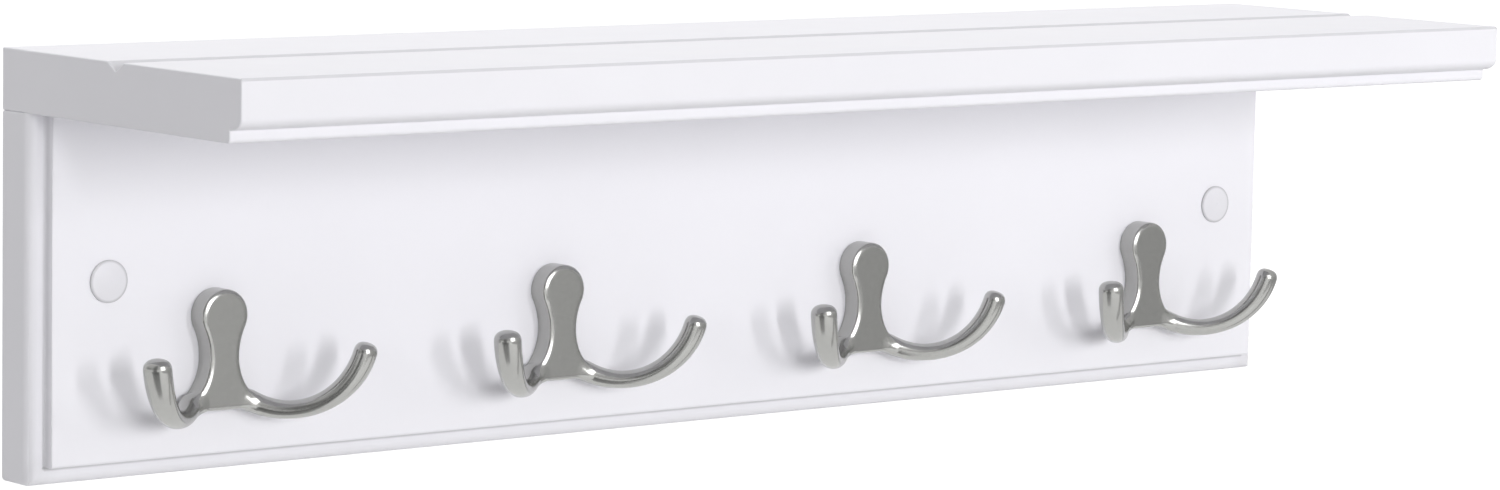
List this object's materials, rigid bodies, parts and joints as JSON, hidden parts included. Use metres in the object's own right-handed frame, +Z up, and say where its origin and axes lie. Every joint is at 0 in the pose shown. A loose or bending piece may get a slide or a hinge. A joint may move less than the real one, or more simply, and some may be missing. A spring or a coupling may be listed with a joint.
{
  "type": "wall hook rack",
  "caption": "White moulded shelf on a panelled back board that carries a row of cast double coat hooks; screws to a wall under push-in caps.",
  "frame": {"origin": "on the wall, midway between the two wall-screw holes", "axes": "+X along the rack to the right as seen from the front, +Y into the wall, so hooks and shelf stand out towards -Y, +Z up"},
  "size_m": [0.61, 0.154, 0.1565],
  "materials": {
    "painted_board": "smooth white satin paint over fibreboard",
    "satin_nickel": "satin nickel plate on a zinc casting",
    "zinc_plate": "bright zinc-plated steel",
    "beech": "bare fluted beech",
    "cap_plastic": "white moulded plastic, satin gloss"
  },
  "bodies": {
    "rack": {"shelf_board": "painted_board", "back_board": "painted_board", "coat_hook_1": "satin_nickel", "coat_hook_2": "satin_nickel", "coat_hook_3": "satin_nickel", "coat_hook_4": "satin_nickel", "hook_screw_1_lower": "zinc_plate", "hook_screw_1_upper": "zinc_plate", "hook_screw_2_lower": "zinc_plate", "hook_screw_2_upper": "zinc_plate", "hook_screw_3_lower": "zinc_plate", "hook_screw_3_upper": "zinc_plate", "hook_screw_4_lower": "zinc_plate", "hook_screw_4_upper": "zinc_plate", "hook_washer_1_lower": "zinc_plate", "hook_washer_1_upper": "zinc_plate", "hook_washer_2_lower": "zinc_plate", "hook_washer_2_upper": "zinc_plate", "hook_washer_3_lower": "zinc_plate", "hook_washer_3_upper": "zinc_plate", "hook_washer_4_lower": "zinc_plate", "hook_washer_4_upper": "zinc_plate", "dowel_1": "beech", "dowel_2": "beech", "dowel_3": "beech", "dowel_4": "beech", "shelf_screw_1": "zinc_plate", "shelf_screw_2": "zinc_plate", "shelf_screw_3": "zinc_plate"},
    "left_cap": {"screw_cap_left": "cap_plastic"},
    "right_cap": {"screw_cap_right": "cap_plastic"}
  },
  "joints": [
    {"name": "left_cap_pull", "type": "slide", "parent": "rack", "child": "left_cap", "axis": [0, -1, 0], "range_m": [0, 0.02]},
    {"name": "right_cap_pull", "type": "slide", "parent": "rack", "child": "right_cap", "axis": [0, -1, 0], "range_m": [0, 0.02]}
  ]
}
